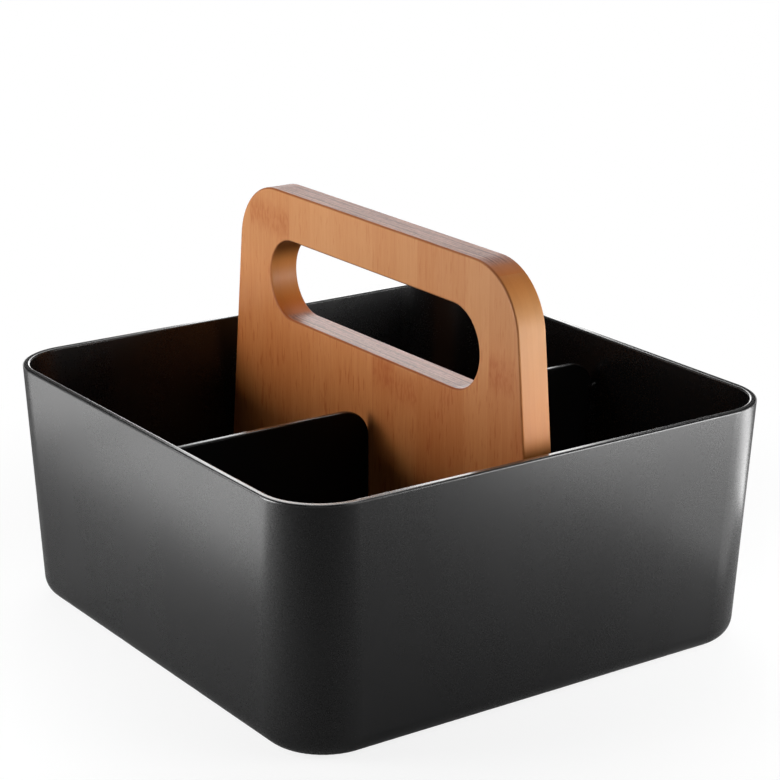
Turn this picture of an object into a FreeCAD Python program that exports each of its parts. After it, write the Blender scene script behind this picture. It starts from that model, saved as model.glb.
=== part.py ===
"""Open kitchen caddy: a square moulded tub, a laminated bamboo carrying board fixed across
its middle, and two lift-out dividers that complete the four compartments.

Frame: the origin lies on the table under the middle of the tub, +Z points up. The carrying
board runs along X and the dividers run along Y. Sizes are in millimetres. A height named
"above the base" is counted from the underside of the tub.
"""

import FreeCAD, Part
import math
import os

# ---- tub ---------------------------------------------------------------------------------
TUB_WIDTH = 230.0             # square, outside, at the rim
TUB_HEIGHT = 102.3            # underside to rim
WALL_DRAFT = 2.5              # degrees that every wall leans outwards
WALL_THICKNESS = 3.0
FLOOR_THICKNESS = 3.0
CORNER_RADIUS = 26.0          # upright corners, outside, the same from base to rim
BASE_EDGE_RADIUS = 9.0        # between underside and walls, outside
FLOOR_EDGE_RADIUS = 6.0       # between floor and walls, inside
RIM_EDGE_RADIUS = 0.8         # both edges of the rim

# ---- carrying board ----------------------------------------------------------------------
FACE_PLY_THICKNESS = 4.25     # each of the two outer layers
CORE_PLY_THICKNESS = 5.0
BOARD_HEIGHT = 163.8
BOARD_RIM_GAP = 9.6           # side of the board to the tub wall at the height of the rim
BOARD_FLARE = 5.9             # degrees that each side spreads on its way down
BOARD_CORNER_RADIUS = 27.5
BOARD_SHOULDER_RADIUS = 15.0  # widest point, where the sides turn in along the tub walls
BOARD_FOOT_RADIUS = 9.0
BOARD_EDGE_RADIUS = 0.9       # rounding of every outer edge
BOARD_WALL_GAP = 1.0          # lower sides of the board to the tub walls
HAND_HOLE_HEIGHT = 34.0
HAND_HOLE_SIDE_MARGIN = 25.2  # end of the hole to the side of the board, level with its middle
HAND_HOLE_BELOW_TOP = 20.5    # top edge of the board to the hole

# ---- seat of the board in the tub --------------------------------------------------------
SEAT_PAD_THICKNESS = 2.0      # thickening of the floor under the board
CHANNEL_RIB_THICKNESS = 2.5
CHANNEL_RIB_HEIGHT = 10.0     # above the floor
CHANNEL_MID_GAP = 22.0        # break in the ribs where the dividers end
BOARD_SIDE_CLEARANCE = 0.2    # board face to rib
BOARD_GUIDE_HEIGHT = 38.0     # ribs on the end walls, above the base
BOARD_GUIDE_REACH = 7.0       # how far they stand out from the wall

# ---- handle screws -----------------------------------------------------------------------
SCREW_DIAMETER = 3.5
SCREW_HEAD_DIAMETER = 7.0
SCREW_HEAD_LAND = 0.4         # cylindrical edge of the countersunk head
SCREW_LENGTH = 25.0
SCREW_TIP_LENGTH = 4.0
SCREW_TIP_DIAMETER = 0.8
SCREW_HEAD_SUNK = 0.5         # head below the underside of the tub
SCREW_END_DISTANCE = 32.0     # outer screws to the ends of the board
SCREW_HOLE_CLEARANCE = 0.25   # radial, through the floor
SCREW_HEAD_CLEARANCE = 0.15   # radial, around the head
SCREW_PILOT_CLEARANCE = 0.02  # radial, in the bamboo
DRIVE_WIDTH = 0.9
DRIVE_LENGTH = 4.0
DRIVE_DEPTH = 1.4

# ---- dividers ----------------------------------------------------------------------------
DIVIDER_THICKNESS = 3.0
DIVIDER_HEIGHT = 88.2
DIVIDER_CORNER_RADIUS = 12.0
DIVIDER_FOOT_RADIUS = 7.0     # lower corner at the wall
DIVIDER_HEEL_RADIUS = 1.5     # lower corner at the board
DIVIDER_EDGE_RADIUS = 0.9
DIVIDER_BOARD_GAP = 0.6
DIVIDER_WALL_GAP = 0.5
GUIDE_CLEARANCE = 0.3         # divider to each guide rib
GUIDE_RIB_THICKNESS = 1.8
GUIDE_REACH = 3.0             # upright ribs, out from the wall
GUIDE_TOP_BELOW_RIM = 21.0
GUIDE_LEAD_IN = 1.2           # slope at the top of an upright rib
FLOOR_RIB_HEIGHT = 5.0
FLOOR_RIB_BOARD_GAP = 6.0     # end of the floor ribs to the board

# ---- feet --------------------------------------------------------------------------------
FOOT_DIAMETER = 14.0
FOOT_THICKNESS = 1.6
FOOT_RECESS_DEPTH = 1.0
FOOT_RECESS_CLEARANCE = 0.2
FOOT_EDGE_RADIUS = 0.4
FOOT_EDGE_DISTANCE = 26.0     # foot centre to the outer face of the walls at the base

# ---- sizes that follow -------------------------------------------------------------------
FUSE_OVERLAP = 0.5            # how far a rib starts inside the wall or floor it grows from
CUT_MARGIN = 5.0              # how far a cutting solid runs past what it cuts
SAME_PLACE = 1e-4             # points closer than this are the same

BASE_Z = FOOT_THICKNESS - FOOT_RECESS_DEPTH
DRAFT_SLOPE = math.tan(math.radians(WALL_DRAFT))
FLARE_SLOPE = math.tan(math.radians(BOARD_FLARE))
BOARD_THICKNESS = CORE_PLY_THICKNESS + 2 * FACE_PLY_THICKNESS
BOARD_BASE = FLOOR_THICKNESS + SEAT_PAD_THICKNESS
BOARD_TOP = BOARD_BASE + BOARD_HEIGHT
CHANNEL_HALF_WIDTH = BOARD_THICKNESS / 2 + BOARD_SIDE_CLEARANCE
GUIDE_HALF_WIDTH = DIVIDER_THICKNESS / 2 + GUIDE_CLEARANCE


def point(x, y, above_base):
    """A point given by its place in the plan and its height above the base."""
    return FreeCAD.Vector(x, y, BASE_Z + above_base)


def outer_half(above_base):
    """Half the outside width of the tub at a height."""
    return TUB_WIDTH / 2 - (TUB_HEIGHT - above_base) * DRAFT_SLOPE


def inner_half(above_base):
    """Half the inside width of the tub at a height."""
    return outer_half(above_base) - WALL_THICKNESS


# ---- outlines ----------------------------------------------------------------------------

def rounded_polygon(corners, radii):
    """A closed wire through the corners, each corner replaced by a tangent arc."""
    edges = []
    first = None
    last = None
    count = len(corners)
    for i in range(count):
        here = corners[i]
        to_before = (corners[i - 1] - here).normalize()
        to_after = (corners[(i + 1) % count] - here).normalize()
        half_turn = to_before.getAngle(to_after) / 2
        setback = radii[i] / math.tan(half_turn)
        middle = (to_before + to_after).normalize()
        start = here + to_before * setback
        end = here + to_after * setback
        crown = here + middle * (radii[i] / math.sin(half_turn) - radii[i])
        if last is not None:
            edges.append(Part.LineSegment(last, start).toShape())
        edges.append(Part.Arc(start, crown, end).toShape())
        if first is None:
            first = start
        last = end
    edges.append(Part.LineSegment(last, first).toShape())
    return Part.Wire(edges)


def slot_outline(half_length, radius, y, above_base):
    """A slot with round ends in the XZ plane."""
    straight = half_length - radius
    right_top = point(straight, y, above_base + radius)
    right_bottom = point(straight, y, above_base - radius)
    left_top = point(-straight, y, above_base + radius)
    left_bottom = point(-straight, y, above_base - radius)
    edges = [
        Part.LineSegment(left_top, right_top).toShape(),
        Part.Arc(right_top, point(half_length, y, above_base), right_bottom).toShape(),
        Part.LineSegment(right_bottom, left_bottom).toShape(),
        Part.Arc(left_bottom, point(-half_length, y, above_base), left_top).toShape(),
    ]
    return Part.Wire(edges)


def rounded_square(half, radius, above_base):
    """A square with round corners, level, centred on the Z axis."""
    corners = [point(sx * half, sy * half, above_base) for sx, sy in ((1, 1), (-1, 1), (-1, -1), (1, -1))]
    return rounded_polygon(corners, [radius] * len(corners))


def tapered_block(half_at, radius, low, high):
    """A solid between two rounded squares, whose half width at a height is half_at(height)."""
    bottom = rounded_square(half_at(low), radius, low)
    top = rounded_square(half_at(high), radius, high)
    return Part.makeLoft([bottom, top], True, True)


def box_between(x_span, y_span, height_span):
    """A box given by its two ends along each axis."""
    low = point(x_span[0], y_span[0], height_span[0])
    lengths = [span[1] - span[0] for span in (x_span, y_span, height_span)]
    return Part.makeBox(lengths[0], lengths[1], lengths[2], low)


def level_edges(shape, above_base):
    """The edges of a shape that lie wholly at one height."""
    z = BASE_Z + above_base
    found = []
    for edge in shape.Edges:
        box = edge.BoundBox
        if abs(box.ZMin - z) < SAME_PLACE and abs(box.ZMax - z) < SAME_PLACE:
            found.append(edge)
    return found


def edges_at(shape, axis, place):
    """The edges of a shape that lie wholly in the plane x = place or y = place."""
    found = []
    for edge in shape.Edges:
        box = edge.BoundBox
        low, high = (box.XMin, box.XMax) if axis == "x" else (box.YMin, box.YMax)
        if abs(low - place) < SAME_PLACE and abs(high - place) < SAME_PLACE:
            found.append(edge)
    return found


def turned(shape, degrees):
    """A copy of a shape turned about the Z axis."""
    copy = shape.copy()
    copy.rotate(FreeCAD.Vector(0, 0, 0), FreeCAD.Vector(0, 0, 1), degrees)
    return copy


# ---- tub ---------------------------------------------------------------------------------

def tub_shell():
    """The open box: outer block with a rounded base, less the cavity."""
    block = tapered_block(outer_half, CORNER_RADIUS, 0, TUB_HEIGHT)
    block = block.makeFillet(BASE_EDGE_RADIUS, level_edges(block, 0))
    inner_radius = CORNER_RADIUS - WALL_THICKNESS
    cavity = tapered_block(inner_half, inner_radius, FLOOR_THICKNESS, TUB_HEIGHT + CUT_MARGIN)
    cavity = cavity.makeFillet(FLOOR_EDGE_RADIUS, level_edges(cavity, FLOOR_THICKNESS))
    shell = block.cut(cavity)
    return shell.makeFillet(RIM_EDGE_RADIUS, level_edges(shell, TUB_HEIGHT))


def upright_rib(offset, thickness, reach, top, lead_in):
    """A rib up the inside of the +Y wall. Its nose leans with the wall and its top slopes."""
    foot = FLOOR_THICKNESS - FUSE_OVERLAP
    profile = [
        point(offset, inner_half(foot) + FUSE_OVERLAP, foot),
        point(offset, inner_half(top) + FUSE_OVERLAP, top),
        point(offset, inner_half(top), top),
        point(offset, inner_half(top - lead_in) - reach, top - lead_in),
        point(offset, inner_half(foot) - reach, foot),
    ]
    face = Part.Face(Part.makePolygon(profile + profile[:1]))
    return face.extrude(FreeCAD.Vector(thickness, 0, 0))


def divider_guides():
    """Two upright ribs and two floor ribs that hold the divider at the +Y wall."""
    top = TUB_HEIGHT - GUIDE_TOP_BELOW_RIM
    ribs = []
    for offset in (GUIDE_HALF_WIDTH, -GUIDE_HALF_WIDTH - GUIDE_RIB_THICKNESS):
        ribs.append(upright_rib(offset, GUIDE_RIB_THICKNESS, GUIDE_REACH, top, GUIDE_LEAD_IN))
        ribs.append(box_between(
            (offset, offset + GUIDE_RIB_THICKNESS),
            (BOARD_THICKNESS / 2 + FLOOR_RIB_BOARD_GAP, inner_half(FLOOR_THICKNESS)),
            (FLOOR_THICKNESS - FUSE_OVERLAP, FLOOR_THICKNESS + FLOOR_RIB_HEIGHT)))
    return ribs


def board_guides():
    """Two ribs on the end wall that hold the edge of the board, made at the +Y wall."""
    return [upright_rib(offset, CHANNEL_RIB_THICKNESS, BOARD_GUIDE_REACH, BOARD_GUIDE_HEIGHT, GUIDE_LEAD_IN)
            for offset in (CHANNEL_HALF_WIDTH, -CHANNEL_HALF_WIDTH - CHANNEL_RIB_THICKNESS)]


def board_channel():
    """The pad under the board and the four floor ribs along its faces."""
    half = inner_half(FLOOR_THICKNESS)
    foot = FLOOR_THICKNESS - FUSE_OVERLAP
    parts = [box_between((-half, half), (-CHANNEL_HALF_WIDTH, CHANNEL_HALF_WIDTH), (foot, BOARD_BASE))]
    for start in (CHANNEL_HALF_WIDTH, -CHANNEL_HALF_WIDTH - CHANNEL_RIB_THICKNESS):
        for span in ((CHANNEL_MID_GAP / 2, half), (-half, -CHANNEL_MID_GAP / 2)):
            parts.append(box_between(
                span, (start, start + CHANNEL_RIB_THICKNESS), (foot, FLOOR_THICKNESS + CHANNEL_RIB_HEIGHT)))
    return parts


def screw_places():
    """The X places of the handle screws: one in the middle, one near each end."""
    outer = board_half_at_base() - SCREW_END_DISTANCE
    return (-outer, 0.0, outer)


def foot_places():
    """The plan places of the four feet, by name."""
    reach = outer_half(0) - FOOT_EDGE_DISTANCE
    return {
        "foot_front_left": (-reach, -reach),
        "foot_front_right": (reach, -reach),
        "foot_back_left": (-reach, reach),
        "foot_back_right": (reach, reach),
    }


def screw_hole(x):
    """A countersunk hole through the floor and the pad."""
    shank = SCREW_DIAMETER / 2 + SCREW_HOLE_CLEARANCE
    head = SCREW_HEAD_DIAMETER / 2 + SCREW_HEAD_CLEARANCE
    land = SCREW_HEAD_SUNK + SCREW_HEAD_LAND
    cone = SCREW_HEAD_DIAMETER / 2 - SCREW_DIAMETER / 2
    return turned_profile(x, [
        (0, -CUT_MARGIN), (head, -CUT_MARGIN), (head, land), (SCREW_HEAD_DIAMETER / 2, land),
        (shank, land + cone - SCREW_HOLE_CLEARANCE), (shank, BOARD_BASE + CUT_MARGIN),
        (0, BOARD_BASE + CUT_MARGIN)])


def turned_profile(x, profile):
    """A solid of revolution about the upright line at x, from (radius, height) points."""
    corners = [point(x + radius, 0, height) for radius, height in profile]
    face = Part.Face(Part.makePolygon(corners + corners[:1]))
    return face.revolve(point(x, 0, 0), FreeCAD.Vector(0, 0, 1), 360)


def tub():
    """The whole moulding: shell, guides, channel, foot recesses and screw holes."""
    ribs = board_channel()
    for angle in (0, 180):
        ribs += [turned(rib, angle) for rib in divider_guides()]
        ribs += [turned(rib, angle + 90) for rib in board_guides()]
    body = tub_shell().multiFuse(ribs)
    cutters = [screw_hole(x) for x in screw_places()]
    recess_radius = FOOT_DIAMETER / 2 + FOOT_RECESS_CLEARANCE
    for x, y in foot_places().values():
        cutters.append(Part.makeCylinder(
            recess_radius, FOOT_RECESS_DEPTH + CUT_MARGIN, point(x, y, -CUT_MARGIN)))
    return body.cut(cutters).removeSplitter()


# ---- carrying board ----------------------------------------------------------------------

def board_half_at_base():
    """Half the width of the board at its lower edge."""
    return inner_half(BOARD_BASE) - BOARD_WALL_GAP


def flared_half(above_base):
    """Half the width between the flared sides of the board at a height."""
    return inner_half(TUB_HEIGHT) - BOARD_RIM_GAP + (TUB_HEIGHT - above_base) * FLARE_SLOPE


def board_outline(y):
    """The outline of the board: straight top, flared sides, then in along the tub walls."""
    drop = (BOARD_RIM_GAP - BOARD_WALL_GAP) / (FLARE_SLOPE + DRAFT_SLOPE)
    shoulder = TUB_HEIGHT - drop
    right_side = [
        (flared_half(BOARD_TOP), BOARD_TOP),
        (flared_half(shoulder), shoulder),
        (board_half_at_base(), BOARD_BASE)]
    radii = [BOARD_CORNER_RADIUS, BOARD_SHOULDER_RADIUS, BOARD_FOOT_RADIUS]
    corners = [point(x, y, height) for x, height in right_side]
    corners += [point(-x, y, height) for x, height in reversed(right_side)]
    return rounded_polygon(corners, radii + radii[::-1])


def board_layer(y_start, thickness):
    """One layer of the board with its hand hole, from y_start towards +Y."""
    radius = HAND_HOLE_HEIGHT / 2
    centre = BOARD_TOP - HAND_HOLE_BELOW_TOP - radius
    half_length = flared_half(centre) - HAND_HOLE_SIDE_MARGIN
    along = FreeCAD.Vector(0, thickness, 0)
    plate = Part.Face(board_outline(y_start)).extrude(along)
    hole = Part.Face(slot_outline(half_length, radius, y_start, centre)).extrude(along)
    return plate.cut(hole)


def front_ply():
    """The outer layer on the -Y side, with rounded edges on its face."""
    face_y = -BOARD_THICKNESS / 2
    layer = board_layer(face_y, FACE_PLY_THICKNESS)
    return layer.makeFillet(BOARD_EDGE_RADIUS, edges_at(layer, "y", face_y))


def core_ply():
    """The middle layer, with the pilot holes of the handle screws."""
    layer = board_layer(-CORE_PLY_THICKNESS / 2, CORE_PLY_THICKNESS)
    radius = SCREW_DIAMETER / 2 + SCREW_PILOT_CLEARANCE
    depth = SCREW_HEAD_SUNK + SCREW_LENGTH + SCREW_PILOT_CLEARANCE - BOARD_BASE
    for x in screw_places():
        pilot = Part.makeCylinder(radius, depth + CUT_MARGIN, point(x, 0, BOARD_BASE - CUT_MARGIN))
        layer = layer.cut(pilot)
    return layer


# ---- screws, dividers and feet -----------------------------------------------------------

def handle_screw(x):
    """A countersunk wood screw, head down, with a cross drive."""
    shank = SCREW_DIAMETER / 2
    head = SCREW_HEAD_DIAMETER / 2
    bottom = SCREW_HEAD_SUNK
    tip = bottom + SCREW_LENGTH
    screw = turned_profile(x, [
        (0, bottom), (head, bottom), (head, bottom + SCREW_HEAD_LAND),
        (shank, bottom + SCREW_HEAD_LAND + head - shank), (shank, tip - SCREW_TIP_LENGTH),
        (SCREW_TIP_DIAMETER / 2, tip), (0, tip)])
    long_side = DRIVE_LENGTH / 2
    short_side = DRIVE_WIDTH / 2
    for half_x, half_y in ((long_side, short_side), (short_side, long_side)):
        screw = screw.cut(box_between(
            (x - half_x, x + half_x), (-half_y, half_y), (bottom - CUT_MARGIN, bottom + DRIVE_DEPTH)))
    return screw


def back_divider():
    """The panel between the board and the +Y wall, with all its edges rounded."""
    low = FLOOR_THICKNESS
    high = FLOOR_THICKNESS + DIVIDER_HEIGHT
    board_end = BOARD_THICKNESS / 2 + DIVIDER_BOARD_GAP
    x = -DIVIDER_THICKNESS / 2
    corners = [
        point(x, board_end, low),
        point(x, board_end, high),
        point(x, inner_half(high) - DIVIDER_WALL_GAP, high),
        point(x, inner_half(low) - DIVIDER_WALL_GAP, low)]
    radii = [DIVIDER_HEEL_RADIUS, DIVIDER_CORNER_RADIUS, DIVIDER_CORNER_RADIUS, DIVIDER_FOOT_RADIUS]
    panel = Part.Face(rounded_polygon(corners, radii)).extrude(FreeCAD.Vector(DIVIDER_THICKNESS, 0, 0))
    rims = edges_at(panel, "x", x) + edges_at(panel, "x", x + DIVIDER_THICKNESS)
    return panel.makeFillet(DIVIDER_EDGE_RADIUS, rims)


def foot(x, y):
    """A round pad, its lower edge rounded."""
    bottom = FOOT_RECESS_DEPTH - FOOT_THICKNESS
    pad = Part.makeCylinder(FOOT_DIAMETER / 2, FOOT_THICKNESS, point(x, y, bottom))
    return pad.makeFillet(FOOT_EDGE_RADIUS, level_edges(pad, bottom))


def parts():
    """Every piece of the caddy by name."""
    front = front_ply()
    back_panel = back_divider()
    pieces = {
        "tub": tub(),
        "handle_front_ply": front,
        "handle_core_ply": core_ply(),
        "handle_back_ply": turned(front, 180),
        "handle_screws": Part.makeCompound([handle_screw(x) for x in screw_places()]),
        "front_divider": turned(back_panel, 180),
        "back_divider": back_panel,
    }
    for name, (x, y) in foot_places().items():
        pieces[name] = foot(x, y)
    return pieces


def main():
    os.makedirs("parts", exist_ok=True)
    for name, shape in parts().items():
        shape.exportStep("parts/" + name + ".step")
        print(name, len(shape.Solids), round(shape.Volume, 1), shape.isValid())


main()
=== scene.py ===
"""Camera, light, floor and finishes for the open kitchen caddy with a bamboo carrying board.

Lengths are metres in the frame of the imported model: the origin lies on the table under the
middle of the tub, +Z points up, the board runs along X and the dividers run along Y.
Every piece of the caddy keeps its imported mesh. This file gives each one its finish.
"""

import math

import bpy
from mathutils import Matrix, Vector


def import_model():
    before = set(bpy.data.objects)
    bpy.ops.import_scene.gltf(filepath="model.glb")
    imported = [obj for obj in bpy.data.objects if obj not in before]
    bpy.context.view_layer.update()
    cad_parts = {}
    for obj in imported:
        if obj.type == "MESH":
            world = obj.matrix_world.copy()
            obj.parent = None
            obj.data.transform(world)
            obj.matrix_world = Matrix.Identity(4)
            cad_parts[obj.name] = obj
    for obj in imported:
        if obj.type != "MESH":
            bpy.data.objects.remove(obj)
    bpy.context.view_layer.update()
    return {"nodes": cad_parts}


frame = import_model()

WHITE = (1.0, 1.0, 1.0, 1.0)

# ---- camera ------------------------------------------------------------------------------
CAMERA_AZIMUTH = 55.1037      # degrees from the -Y side towards +X
CAMERA_ELEVATION = 17.6835    # degrees above the table
CAMERA_ROLL = 0.1826          # degrees
CAMERA_DISTANCE = 1.114862
CAMERA_TARGET = (-0.099858, 0.073649, 0.0581)
FOCAL_LENGTH = 110.9907       # millimetres, on the sensor below
SENSOR_WIDTH = 36.0           # millimetres
CAMERA_REACH = 100.0          # distance of the farthest thing that it sees

# ---- plastic -----------------------------------------------------------------------------
TUB_BLACK = (0.0075, 0.0075, 0.0078)
DIVIDER_BLACK = (0.0065, 0.0065, 0.0068)
TUB_GRAIN = 0.000006          # depth of the moulded grain
DIVIDER_GRAIN = 0.00001

# ---- bamboo: light and dark long grain, then light and dark end grain --------------------
FACE_BAMBOO = (
    (0.520, 0.246, 0.099), (0.422, 0.158, 0.047), (0.58, 0.245, 0.148), (0.30, 0.120, 0.076))
CORE_BAMBOO = (
    (0.546, 0.258, 0.104), (0.428, 0.162, 0.049), (0.55, 0.235, 0.152), (0.28, 0.118, 0.076))
STRIP_WIDTH = 0.0155          # strips glued edge to edge in each face
STRIP_JOINT = 0.003           # where one of their joints lies, from the middle of the board
BACK_SHIFT = 0.007            # the joints of the back face lie this much towards -X
BACK_NUMBER = 40.0            # added to a strip's number on the back, for tones of its own
JOINT_WIDTH = 0.0004
GLUE_LINE = 0.0025            # from the middle of the board to where its core meets each face
GLUE_EDGE = (0.0005, 0.0001)  # distances from there over which the glue darkens the end grain
KNUCKLE_HALF_HEIGHT = 0.0058  # darker band across a strip where the cane had a joint
KNUCKLE_SOFTNESS = 0.0042
KNUCKLE_WANDER = 0.005        # how far its edges stray up and down
KNUCKLES = (                  # the middle of a strip, and the height of its darker band
    (-0.0822, 0.157), (-0.0667, 0.156), (0.0108, 0.1085), (0.0263, 0.105),
    (-0.0357, 0.030), (0.0573, 0.058), (0.0883, 0.128))
HOLE_REACH = 0.085            # from the middle of the board to beyond its hand hole
PAINTED_SHADE_HEIGHTS = (0.155, 0.083)        # heights between which the painted shade deepens, downwards
WORN = (0.150, 0.165)         # heights between which hands have dulled the cut ends, upwards
BAMBOO_RELIEF = 0.00002       # depth of the open grain

# ---- how the bamboo's colour differs from place to place ---------------------------------
SHADE_AND_OIL_TONE = (1.08, 0.73, 0.39)   # painted shade low on the board; a deeper oil tone where it turns into the top
EDGE_SHADE_TONE = (0.54, 0.35, 0.24)  # painted shade on the rounded edges
SIDE_TONE = (1.02, 1.06, 0.90)   # on the sides, which were sanded last
HOLE_TONE = (1.02, 0.90, 0.57)   # on the ends of the hand hole
DASH_TONE = (0.80, 0.60, 0.45)   # in the open vessels

# ---- light and floor ---------------------------------------------------------------------
TUB_MIDDLE = (0.0, 0.0, 0.06)
PATCH_HEIGHT = 0.003
PATCH_SIZE = (0.14, 0.14)
FLOOR_HALF_WIDTH = 12.0
FLOOR_COLOUR = (0.34, 0.34, 0.34)
FLOOR_LOOK = (0.95, 0.95, 0.95)
FLOOR_SHADE = 0.18            # how much of its shadow the floor shows beside the caddy
SHADE_REACH = (0.14, 0.34)    # distances from the middle over which that share fades
SHEEN_REACH = (0.6, 1.5)      # distances over which a sheen begins to see the floor as white
WORLD_LIGHT = 0.02
BACKDROP_TOP = 0.15           # the sine of the angle up to which the surround is white in a sheen
BACKDROP_SOFTNESS = 0.08


# ---- surfaces that vary ------------------------------------------------------------------

class Reading:
    """A number that varies over a surface. Arithmetic on it adds Math nodes."""

    def __init__(self, finish, socket):
        self.finish = finish
        self.socket = socket

    def joined(self, operation, *numbers):
        """The result of one Math node."""
        made = self.finish.node(
            "ShaderNodeMath", {"operation": operation}, dict(enumerate(numbers)))
        return Reading(self.finish, made.outputs[0])

    def __add__(self, other):
        return self.joined("ADD", self, other)

    def __radd__(self, other):
        return self.joined("ADD", other, self)

    def __sub__(self, other):
        return self.joined("SUBTRACT", self, other)

    def __rsub__(self, other):
        return self.joined("SUBTRACT", other, self)

    def __mul__(self, other):
        return self.joined("MULTIPLY", self, other)

    def __rmul__(self, other):
        return self.joined("MULTIPLY", other, self)

    def __truediv__(self, other):
        return self.joined("DIVIDE", self, other)

    def __abs__(self):
        return self.joined("ABSOLUTE", self)

    def floor(self):
        """The whole number at or below it."""
        return self.joined("FLOOR", self)

    def root(self):
        """Its square root."""
        return self.joined("SQRT", self)

    def above(self, limit):
        """1 where it is over the limit, else 0."""
        return self.joined("GREATER_THAN", self, limit)

    def eased(self, start, end):
        """0 at start, 1 at end, with a smooth rise between; start may be the larger."""
        made = self.finish.node(
            "ShaderNodeMapRange", {"interpolation_type": "SMOOTHSTEP"},
            {"Value": self, "From Min": start, "From Max": end})
        return Reading(self.finish, made.outputs[0])


class Graph:
    """The nodes of a material or of the world."""

    def __init__(self, owner):
        owner.use_nodes = True
        self.tree = owner.node_tree
        self.tree.nodes.clear()

    def node(self, kind, settings=None, values=None):
        """A node of a kind: its settings are made first, then its inputs are set or linked."""
        made = self.tree.nodes.new(kind)
        for name, setting in (settings or {}).items():
            setattr(made, name, setting)
        for key, value in (values or {}).items():
            if isinstance(value, Reading):
                value = value.socket
            if isinstance(value, bpy.types.NodeSocket):
                self.tree.links.new(value, made.inputs[key])
            else:
                made.inputs[key].default_value = value
        return made

    def parts_of(self, vector):
        """The three numbers of a vector."""
        made = self.node("ShaderNodeSeparateXYZ", None, {0: vector})
        return [Reading(self, made.outputs[i]) for i in range(3)]

    def rays(self):
        """1 for the camera's own rays, and 1 for those that a sheen or clear stuff sends on."""
        made = self.node("ShaderNodeLightPath")
        direct = Reading(self, made.outputs["Is Camera Ray"])
        sheen = Reading(self, made.outputs["Is Glossy Ray"])
        clear = Reading(self, made.outputs["Is Transmission Ray"])
        return direct, sheen + clear


class Finish(Graph):
    """A material under construction, with one Principled shader."""

    def __init__(self, name, **constants):
        self.material = bpy.data.materials.new(name)
        super().__init__(self.material)
        self.output = self.node("ShaderNodeOutputMaterial")
        self.shader = self.node("ShaderNodeBsdfPrincipled", None, {
            key.replace("_", " "): value for key, value in constants.items()})
        self.tree.links.new(self.shader.outputs[0], self.output.inputs["Surface"])
        self.coordinates = self.node("ShaderNodeTexCoord")
        self.place = self.coordinates.outputs["Object"]
        self.x, self.y, self.z = self.parts_of(self.place)

    def facing(self):
        """The direction that the surface faces, in the object's own axes."""
        return self.parts_of(self.coordinates.outputs["Normal"])

    def stretched(self, scale, shift):
        """The object's coordinates times a scale for each axis, then moved."""
        made = self.node("ShaderNodeMapping", None, {
            "Vector": self.place, "Location": shift, "Scale": scale})
        return made.outputs[0]

    def noise(self, scale, shift=(0.0, 0.0, 0.0), detail=2.0, roughness=0.5, distortion=0.0):
        """Cloudy noise about 0.5, with so many lumps a metre along each axis. Two noises of one
        finish get different shifts, so that their lumps don't fall in the same places."""
        made = self.node("ShaderNodeTexNoise", None, {
            "Vector": self.stretched(scale, shift), "Scale": 1.0, "Detail": detail,
            "Roughness": roughness, "Distortion": distortion})
        return Reading(self, made.outputs[0])

    def dice(self, number):
        """A fixed random number from 0 to 1 for each whole number."""
        made = self.node("ShaderNodeTexWhiteNoise", {"noise_dimensions": "1D"}, {"W": number})
        return Reading(self, made.outputs["Value"])

    def blend(self, amount, first, second, kind="MIX"):
        """Two colours mixed by an amount from 0 to 1."""
        made = self.node(
            "ShaderNodeMix",
            {"data_type": "RGBA", "blend_type": kind, "clamp_factor": True},
            {0: amount, 6: self.colour(first), 7: self.colour(second)})
        return made.outputs[2]

    def tinted(self, amount, colour, tone):
        """A colour, times a tone where the amount is 1."""
        return self.blend(amount, colour, self.blend(1.0, colour, tone, "MULTIPLY"))

    @staticmethod
    def colour(value):
        """A colour with its fourth number, or a link as it is."""
        return (*value, 1.0) if isinstance(value, tuple) else value

    def toned(self, colour, factor):
        """A colour times a varying number."""
        made = self.node(
            "ShaderNodeVectorMath", {"operation": "SCALE"}, {0: colour, "Scale": factor})
        return made.outputs[0]

    def wear(self, height, depth):
        """Raise and lower the surface: height is 0 to 1, depth is in metres."""
        made = self.node(
            "ShaderNodeBump", None, {"Height": height, "Distance": depth, "Strength": 1.0})
        self.feed("Normal", made.outputs[0])

    def feed(self, name, value):
        """Give a varying value to the shader."""
        socket = value.socket if isinstance(value, Reading) else value
        self.tree.links.new(socket, self.shader.inputs[name])


# ---- plastic -----------------------------------------------------------------------------

def moulded_plastic(name, colour, roughness, grain_depth, shine, panel=False):
    """Satin black moulding: spark-eroded grain, faint flow clouds and a little uneven gloss. Its
    upper edges are polished, and all the edges of a panel that lies square to X."""
    finish = Finish(name, Specular_IOR_Level=shine, Coat_Roughness=0.14)
    face_x, face_y, face_z = finish.facing()
    edge = abs(face_x).eased(0.95, 0.66) if panel else face_z.eased(0.30, 0.75)
    grain = finish.noise((1500.0, 1500.0, 1500.0), detail=2.0, roughness=0.6)
    orange_peel = finish.noise((160.0, 160.0, 160.0), shift=(3.0, 7.0, 1.0), detail=1.0)
    clouds = finish.noise(
        (24.0, 24.0, 12.0), shift=(5.0, 1.0, 9.0), detail=3.0, distortion=0.4)
    finish.feed("Base Color", finish.toned(colour, 0.85 + 0.3 * clouds))
    finish.feed("Roughness", roughness + 0.08 * (clouds - 0.5) + 0.05 * (grain - 0.5))
    finish.feed("Coat Weight", edge * (0.75 + 0.4 * orange_peel))
    finish.wear((grain * 0.75 + orange_peel * 0.25) * (1.0 - 0.8 * edge), grain_depth)
    return finish.material


def tub_plastic():
    """The tub's plastic, with a polished rim."""
    return moulded_plastic(
        "tub_plastic", TUB_BLACK, roughness=0.275, grain_depth=TUB_GRAIN, shine=0.5)


def divider_plastic():
    """The dividers' plastic, blacker and duller than the tub's."""
    return moulded_plastic(
        "divider_plastic", DIVIDER_BLACK, roughness=0.25, grain_depth=DIVIDER_GRAIN, shine=0.08,
        panel=True)


# ---- bamboo ------------------------------------------------------------------------------

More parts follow.
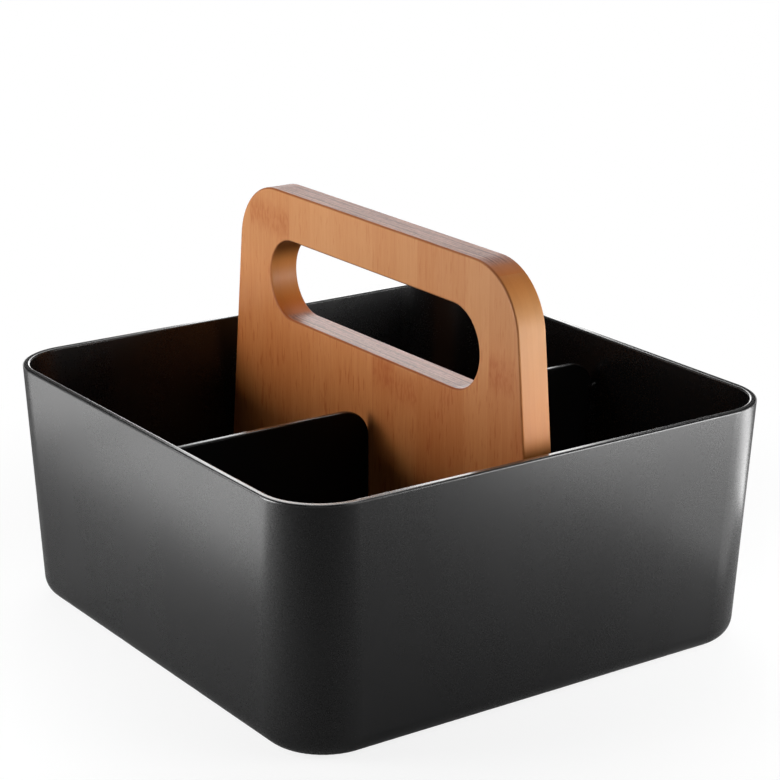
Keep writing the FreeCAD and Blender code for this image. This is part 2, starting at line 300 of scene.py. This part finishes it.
class Bamboo(Finish):
    """Caramelised bamboo. The fibres run up the board, so its faces and sides show long grain,
    and the surfaces that face up or down show the cut ends, which soak up more oil."""

    def __init__(self, name):
        super().__init__(name, Specular_IOR_Level=0.3, Coat_Roughness=0.2)
        self.face_x, self.face_y, self.face_z = self.facing()
        self.level = abs(self.face_z)
        self.broad = abs(self.face_y)
        self.cut = self.level.eased(0.93, 0.99)
        # 1 low on the board, where painted shade darkens and reddens the bamboo
        self.shaded = self.z.eased(*PAINTED_SHADE_HEIGHTS)
        self.contrast = 0.30 + (0.55 + 0.45 * self.shaded) * self.broad.eased(0.3, 0.9)
        self.fibres = self.noise((1500.0, 1500.0, 60.0), detail=4.0, roughness=0.8)
        self.streaks = self.noise(
            (520.0, 520.0, 38.0), shift=(2.0, 5.0, 0.0), detail=3.0, roughness=0.6,
            distortion=0.6)
        self.vessels = self.noise(
            (640.0, 640.0, 95.0), shift=(1.0, 9.0, 5.0), roughness=0.6).eased(0.56, 0.70)
        self.pores = self.noise(
            (420.0, 1500.0, 1.0), shift=(8.0, 2.0, 0.0), detail=3.0, roughness=0.8)
        self.rows = self.noise(
            (40.0, 1000.0, 1.0), shift=(6.0, 1.0, 0.0), detail=3.0, roughness=0.6)

    def strips(self):
        """1 on the joints between the strips of a face, and a tone of its own for each strip."""
        back = self.y.above(0.0)
        place = (self.x - STRIP_JOINT + BACK_SHIFT * back) / STRIP_WIDTH
        strip = place.floor()
        joint = abs(place - strip - 0.5).eased(0.5 - JOINT_WIDTH / STRIP_WIDTH, 0.5)
        return joint * self.broad, self.dice(strip + BACK_NUMBER * back)

    def knuckles(self):
        """1 on the darker bands where the cane had its joints, broken up into dashes."""
        stray = self.noise((260.0, 260.0, 90.0), shift=(0.0, 2.0, 4.0)) - 0.5
        wander = stray * KNUCKLE_WANDER
        dashes = self.noise((720.0, 720.0, 240.0), shift=(4.0, 4.0, 8.0)).eased(0.42, 0.62)
        total = 0.0
        for middle, height in KNUCKLES:
            beside = abs(self.x - middle).eased(0.5 * STRIP_WIDTH, 0.5 * STRIP_WIDTH - JOINT_WIDTH)
            level = abs(self.z - height + wander).eased(
                KNUCKLE_HALF_HEIGHT + KNUCKLE_SOFTNESS, KNUCKLE_HALF_HEIGHT - KNUCKLE_SOFTNESS)
            total = beside * level + total
        return total * self.broad * (0.42 + 0.48 * dashes)

    def plain_grain(self, light, dark):
        """The faces of the strips as they were cut: fibres, streaks, bands and open vessels."""
        joint, strip_tone = self.strips()
        bands = self.noise((80.0, 80.0, 18.0), shift=(7.0, 3.0, 1.0), detail=4.0, roughness=0.6)
        depth = 0.30 * self.fibres + 0.30 * self.streaks + 0.24 * bands + 0.16 * strip_tone
        tone = (0.5 + (depth - 0.5) * self.contrast).eased(0.24, 0.76)
        grain = self.blend(tone, light, dark)
        opened = self.blend(1.0, grain, DASH_TONE, "MULTIPLY")
        vessels = self.vessels * self.broad * (0.30 + 0.55 * self.shaded)
        grain = self.blend(vessels + 0.25 * joint, grain, opened)
        return self.blend(self.knuckles(), grain, opened)

    def long_grain(self, light, dark):
        """The faces and sides of the board, with painted shade low down, deepened by oil where
        they turn into the top, and lightened by sanding.
        """
        turned = self.level.eased(0.35, 0.95)
        # painted shade low on the board, and the oil tone where it turns into the top
        grain = self.tinted(
            0.75 * self.shaded + 0.70 * turned, self.plain_grain(light, dark), SHADE_AND_OIL_TONE)
        side_tone = self.blend(abs(self.x).above(HOLE_REACH), HOLE_TONE, SIDE_TONE)
        return self.tinted(1.0 - self.broad, grain, side_tone)

    def end_grain(self, light, dark):
        """The cut ends, with their pores, their rows and the two glue lines along the board."""
        tone = (0.5 * self.pores + 0.5 * self.rows).eased(0.36, 0.64)
        glue = abs(abs(self.y) - GLUE_LINE).eased(*GLUE_EDGE)
        return self.toned(self.blend(tone, light, dark), 1.0 - 0.35 * glue)

    def colours(self, light, dark, end_light, end_dark):
        """The whole surface, with painted shade on its rounded edges and where it faces down, as
        under the grip in the hand hole."""
        surface = self.blend(
            self.cut, self.long_grain(light, dark), self.end_grain(end_light, end_dark))
        # painted shade on the rounded edges, where they turn away from the lamps
        edge_shade = (2.0 * self.broad * (0.5 * abs(self.face_x) + self.level)).eased(0.25, 0.95)
        edge_shaded = self.tinted(0.6 * edge_shade, surface, EDGE_SHADE_TONE)
        # painted shade on surfaces that face down, such as the top of the hand hole
        underside_shade = (0.0 - self.face_z).eased(0.15, 0.75)
        return self.toned(edge_shaded, 1.0 - 0.8 * underside_shade)


def bamboo(name, light, dark, end_light, end_dark):
    """The layers of the carrying board: open grain, and a thin oil shine on the cut ends."""
    finish = Bamboo(name)
    finish.feed("Base Color", finish.colours(light, dark, end_light, end_dark))
    flat = finish.level.eased(0.975, 0.997)
    worn = finish.z.eased(*WORN)
    shine = 0.09 * finish.rows + 0.41 * finish.pores - 0.03
    finish.feed("Coat Weight", flat * shine * (1.0 - 0.85 * worn))
    fibre_gloss = 0.14 * (finish.fibres - 0.5) * finish.contrast
    row_gloss = 0.12 * (finish.rows - 0.5) * finish.cut
    finish.feed("Roughness", 0.48 + fibre_gloss + 0.06 * finish.vessels + row_gloss)
    open_grain = 0.5 * finish.fibres + 0.3 * finish.streaks - 0.5 * finish.vessels
    finish.wear(
        open_grain * finish.contrast + finish.cut * (0.5 * finish.pores), BAMBOO_RELIEF)
    return finish.material


# ---- screws and feet ---------------------------------------------------------------------

def zinc_plate(name):
    """Zinc-plated screws: turned rings about each shank, with cloudy passivation."""
    finish = Finish(name, Metallic=1.0)
    rings = finish.noise((200.0, 200.0, 4200.0))
    clouds = finish.noise((900.0, 900.0, 500.0), shift=(2.0, 2.0, 2.0))
    tone = (0.5 * rings + 0.5 * clouds).eased(0.3, 0.7)
    finish.feed("Base Color", finish.blend(tone, (0.50, 0.50, 0.48), (0.66, 0.67, 0.68)))
    finish.feed("Roughness", 0.26 + 0.20 * clouds)
    finish.wear(rings, 0.00002)
    return finish.material


def pad_rubber(name):
    """Matte black rubber with a fine open grain and a dusting of lint."""
    finish = Finish(name, Specular_IOR_Level=0.3)
    grain = finish.noise((2600.0, 2600.0, 2600.0))
    lint = finish.noise((700.0, 700.0, 700.0), shift=(4.0, 1.0, 3.0), detail=3.0).eased(0.62, 0.75)
    finish.feed("Base Color", finish.blend(lint * 0.35, (0.022, 0.022, 0.023), (0.10, 0.10, 0.10)))
    finish.feed("Roughness", 0.78 + 0.14 * (grain - 0.5))
    finish.wear(grain, 0.00004)
    return finish.material


def dress():
    """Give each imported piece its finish, found by the start of its name."""
    divider = divider_plastic()
    finishes = {
        "tub": tub_plastic(),
        "front_divider": divider,
        "back_divider": divider,
        "handle_screws": zinc_plate("screw_steel"),
        "handle_core": bamboo("bamboo_core", *CORE_BAMBOO),
        "handle": bamboo("bamboo_face", *FACE_BAMBOO),
        "foot": pad_rubber("foot_rubber"),
    }
    for name, piece in frame["nodes"].items():
        material = next(made for start, made in finishes.items() if name.startswith(start))
        piece.data.materials.clear()
        piece.data.materials.append(material)


# ---- stage -------------------------------------------------------------------------------

def camera():
    """The camera on its ray from the target, level but for a slight roll."""
    azimuth = math.radians(CAMERA_AZIMUTH)
    elevation = math.radians(CAMERA_ELEVATION)
    roll = math.radians(CAMERA_ROLL)
    back = Vector((
        math.sin(azimuth) * math.cos(elevation),
        -math.cos(azimuth) * math.cos(elevation),
        math.sin(elevation)))
    right = (-back).cross(Vector((0.0, 0.0, 1.0))).normalized()
    up = right.cross(-back)
    turned_right = right * math.cos(roll) + up * math.sin(roll)
    turned_up = up * math.cos(roll) - right * math.sin(roll)
    data = bpy.data.cameras.new("camera")
    data.sensor_width = SENSOR_WIDTH
    data.lens = FOCAL_LENGTH
    data.clip_end = CAMERA_REACH
    seat = Matrix((turned_right, turned_up, back)).transposed().to_4x4()
    seat.translation = Vector(CAMERA_TARGET) + back * CAMERA_DISTANCE
    made = bpy.data.objects.new("camera", data)
    made.matrix_world = seat
    bpy.context.scene.collection.objects.link(made)
    bpy.context.scene.camera = made


def lamp(name, azimuth, distance, height, size, brightness, up=False):
    """A rectangular soft lamp round the table, turned to the middle of the tub or straight up:
    azimuth is in degrees from the -Y side towards +X, and size is its width and height."""
    turn = math.radians(azimuth)
    place = Vector((distance * math.sin(turn), -distance * math.cos(turn), height))
    data = bpy.data.lights.new(name, "AREA")
    data.shape = "RECTANGLE"
    data.size, data.size_y = size
    data.energy = math.pi * size[0] * size[1] * brightness
    made = bpy.data.objects.new(name, data)
    towards = Vector((0.0, 0.0, 1.0)) if up else Vector(TUB_MIDDLE) - place
    turned = towards.to_track_quat("-Z", "Y").to_matrix().to_4x4()
    made.matrix_world = Matrix.Translation(place) @ turned
    made.visible_camera = False
    bpy.context.scene.collection.objects.link(made)


def patch(name, azimuth, distance, brightness, size=PATCH_SIZE):
    """A glowing patch just above the table, as pale paper is where a lamp shines on it."""
    lamp(name, azimuth, distance, PATCH_HEIGHT, size, brightness, up=True)


def lamps():
    """Low lamps left and right of the caddy, soft ones above it, one behind it that shines on the
    edges that face up, and glowing patches of the table, which light the walls from below."""
    lamp("left_lamp", -11, 0.42, 0.105, (0.16, 0.19), 16.8)
    lamp("left_high_lamp", -35, 0.55, 0.30, (0.30, 0.20), 3.9)
    lamp("right_near_lamp", 145, 0.34, 0.08, (0.14, 0.12), 7.2)
    lamp("right_far_lamp", 125, 0.50, 0.12, (0.20, 0.20), 15.0)
    lamp("front_fill_lamp", 50, 0.75, 0.90, (0.5, 0.5), 0.55)
    lamp("side_high_lamp", 105, 0.50, 0.45, (0.2, 0.2), 3.0)
    lamp("top_lamp", -125, 0.65, 1.186, (1.0, 0.8), 2.3)
    lamp("back_lamp", -125, 1.15, 0.45, (0.37, 0.66), 3.0)
    patch("left_patch", -27, 0.30, 2.4, size=(0.20, 0.14))
    patch("far_left_patch", -50, 0.42, 3.0)
    patch("right_patch", 135, 0.30, 1.3)
    patch("far_right_patch", 120, 0.42, 5.8)
    patch("side_right_patch", 155, 0.34, 5.0)


def floor_paper():
    """A dull pale paper: it looks white but for a part of the caddy's shadow, and lights the
    caddy as a greyer one does."""
    finish = Finish("floor_paper", Specular_IOR_Level=0.0, Roughness=1.0)
    direct, sheen = finish.rays()
    finish.feed("Base Color", finish.blend(direct, FLOOR_COLOUR, FLOOR_LOOK))
    distance = (finish.x * finish.x + finish.y * finish.y).root()
    near = 1.0 - distance.eased(*SHADE_REACH)
    far = distance.eased(*SHEEN_REACH)
    glow = finish.node("ShaderNodeEmission", None, {"Color": WHITE, "Strength": 1.0})
    mixed = finish.node("ShaderNodeMixShader", None, {
        0: direct * (1.0 - FLOOR_SHADE * near) + sheen * far,
        1: finish.shader.outputs[0], 2: glow.outputs[0]})
    finish.tree.links.new(mixed.outputs[0], finish.output.inputs["Surface"])
    return finish.material


def floor():
    """A wide level square at the height of the table."""
    half = FLOOR_HALF_WIDTH
    mesh = bpy.data.meshes.new("floor")
    corners = [(-half, -half, 0.0), (half, -half, 0.0), (half, half, 0.0), (-half, half, 0.0)]
    mesh.from_pydata(corners, [], [(0, 1, 2, 3)])
    made = bpy.data.objects.new("floor", mesh)
    bpy.context.scene.collection.objects.link(made)
    mesh.materials.append(floor_paper())


def world():
    """A white surround to look at, which itself lights the caddy only faintly."""
    made = bpy.data.worlds.new("surround")
    bpy.context.scene.world = made
    graph = Graph(made)
    direct, sheen = graph.rays()
    around = graph.node("ShaderNodeTexCoord")
    height = graph.parts_of(around.outputs["Generated"])[2]
    backdrop = height.eased(BACKDROP_TOP + BACKDROP_SOFTNESS, BACKDROP_TOP - BACKDROP_SOFTNESS)
    seen = direct + sheen * backdrop
    light = graph.node("ShaderNodeBackground", None, {
        "Color": WHITE, "Strength": WORLD_LIGHT + (1.0 - WORLD_LIGHT) * seen})
    output = graph.node("ShaderNodeOutputWorld")
    graph.tree.links.new(light.outputs[0], output.inputs["Surface"])


def main():
    camera()
    world()
    floor()
    lamps()
    dress()
    bpy.context.scene.view_settings.view_transform = "Standard"


main()
